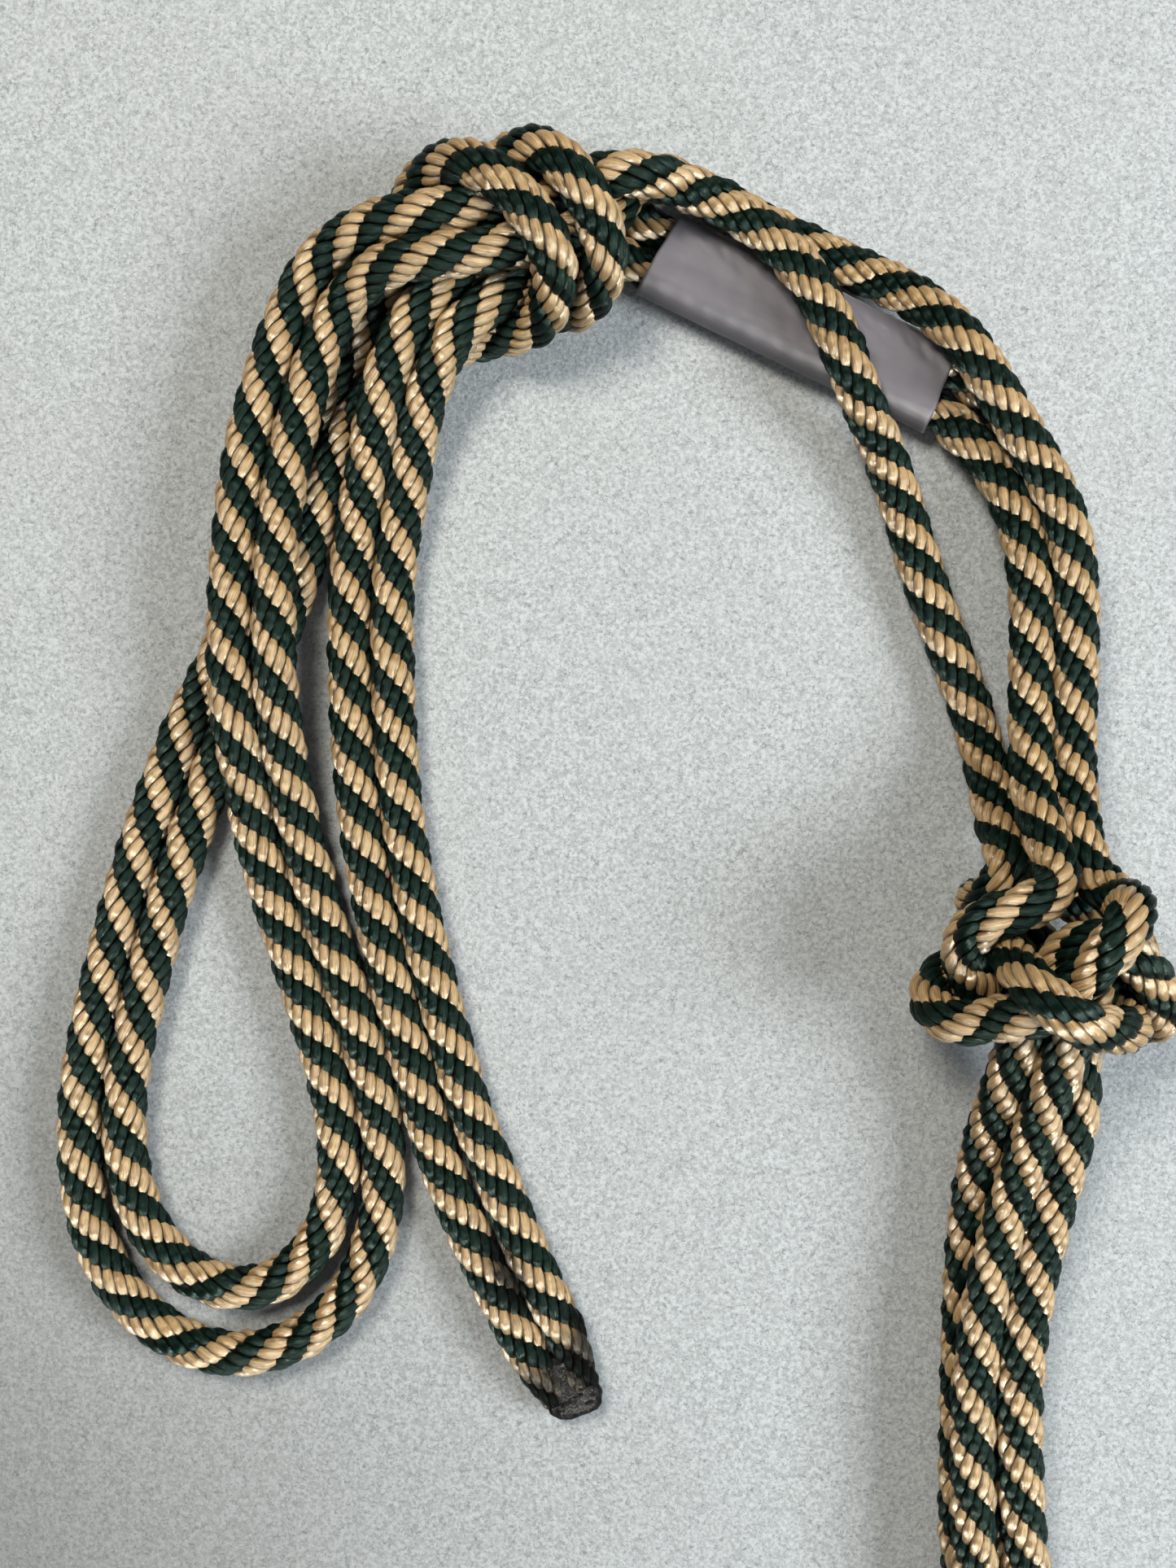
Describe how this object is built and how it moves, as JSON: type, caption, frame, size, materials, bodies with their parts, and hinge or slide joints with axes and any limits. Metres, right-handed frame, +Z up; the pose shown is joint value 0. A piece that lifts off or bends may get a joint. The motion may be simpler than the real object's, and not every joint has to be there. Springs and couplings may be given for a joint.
{
  "type": "rope halter",
  "caption": "Braided rope halter lying flat: crown knot with a doubled tie loop and fused tail, throat strands through a blank sleeve, fiador knot and doubled lead ends.",
  "frame": {"origin": "middle of the footprint's bounding box, on the plane the halter rests on", "axes": "+Z up off the resting plane, +Y from the lead ends towards the crown knot, +X from the tie loop towards the throat strands and fiador knot"},
  "size_m": [0.2074, 0.2878, 0.0441],
  "materials": {
    "rope_braid": "solid-braided bottle green and tan multifilament rope with a satin sheen",
    "label_sleeve": "smooth grey satin sleeve, blank",
    "fused_tip": "melted and hardened rope fibre, dark and half gloss"
  },
  "bodies": {
    "crown_knot": {"crown_strand_a": "rope_braid", "crown_strand_b": "rope_braid", "crown_strand_c": "rope_braid", "crown_strand_d": "rope_braid", "crown_wrap": "rope_braid"},
    "loop_upper": {"loop_upper_inner": "rope_braid", "loop_upper_outer": "rope_braid", "loop_return_inner": "rope_braid", "loop_return_outer": "rope_braid"},
    "loop_lower": {"loop_lower_inner": "rope_braid", "loop_lower_outer": "rope_braid"},
    "tail_upper": {"tail_upper_left": "rope_braid", "tail_upper_right": "rope_braid"},
    "tail_mid": {"tail_mid_left": "rope_braid", "tail_mid_right": "rope_braid"},
    "tail_lower": {"tail_lower_left": "rope_braid", "tail_lower_right": "rope_braid", "tail_fused_tip": "fused_tip"},
    "throat_upper": {"throat_upper_a": "rope_braid", "throat_upper_b": "rope_braid", "throat_upper_c": "rope_braid", "throat_upper_d": "rope_braid"},
    "sleeve": {"label_sleeve": "label_sleeve"},
    "throat_lower": {"throat_lower_a": "rope_braid", "throat_lower_b": "rope_braid", "throat_lower_c": "rope_braid", "throat_lower_d": "rope_braid"},
    "fiador_knot": {"fiador_strand_a": "rope_braid", "fiador_strand_b": "rope_braid", "fiador_strand_c": "rope_braid", "fiador_strand_d": "rope_braid"},
    "lead_upper": {"lead_upper_a": "rope_braid", "lead_upper_b": "rope_braid", "lead_upper_c": "rope_braid", "lead_upper_d": "rope_braid"},
    "lead_lower": {"lead_bight_long": "rope_braid", "lead_bight_short": "rope_braid"}
  },
  "joints": [
    {"name": "loop_swing", "type": "hinge", "parent": "crown_knot", "child": "loop_upper", "pos_m": [-0.05033, 0.11189, 0.00813], "axis": [0, 0, 1], "range_deg": [-8, 0]},
    {"name": "loop_lift", "type": "hinge", "parent": "loop_upper", "child": "loop_lower", "pos_m": [-0.07333, 0.00089, 0.00853], "axis": [-1, 0, 0], "range_deg": [0, 40]},
    {"name": "tail_swing", "type": "hinge", "parent": "crown_knot", "child": "tail_upper", "pos_m": [-0.03863, 0.09789, 0.00813], "axis": [0, 0, 1], "range_deg": [0, 12]},
    {"name": "tail_bend", "type": "hinge", "parent": "tail_upper", "child": "tail_mid", "pos_m": [-0.04433, 0.03689, 0.00413], "axis": [0, 0, 1], "range_deg": [0, 12]},
    {"name": "tail_lift", "type": "hinge", "parent": "tail_mid", "child": "tail_lower", "pos_m": [-0.03233, -0.03111, 0.00833], "axis": [-0.9495, -0.3138, 0], "range_deg": [0, 40]},
    {"name": "throat_swing", "type": "hinge", "parent": "crown_knot", "child": "throat_upper", "pos_m": [0.00467, 0.13189, 0.00813], "axis": [0, 0, 1], "range_deg": [-6, 6]},
    {"name": "sleeve_slide", "type": "slide", "parent": "throat_upper", "child": "sleeve", "axis": [0.8998, -0.4364, 0], "range_m": [-0.0015, 0.0015]},
    {"name": "throat_bend", "type": "hinge", "parent": "throat_upper", "child": "throat_lower", "pos_m": [0.07467, 0.07089, 0.00813], "axis": [0, 0, 1], "range_deg": [-5, 5]},
    {"name": "fiador_swing", "type": "hinge", "parent": "throat_lower", "child": "fiador_knot", "pos_m": [0.08017, 0.01569, 0.01613], "axis": [0, 0, 1], "range_deg": [-4, 6]},
    {"name": "lead_swing", "type": "hinge", "parent": "fiador_knot", "child": "lead_upper", "pos_m": [0.08017, -0.02831, 0.01613], "axis": [0, 0, 1], "range_deg": [-8, 8]},
    {"name": "lead_lift", "type": "hinge", "parent": "lead_upper", "child": "lead_lower", "pos_m": [0.07267, -0.08611, 0.01653], "axis": [-1, 0, 0], "range_deg": [0, 40]}
  ]
}
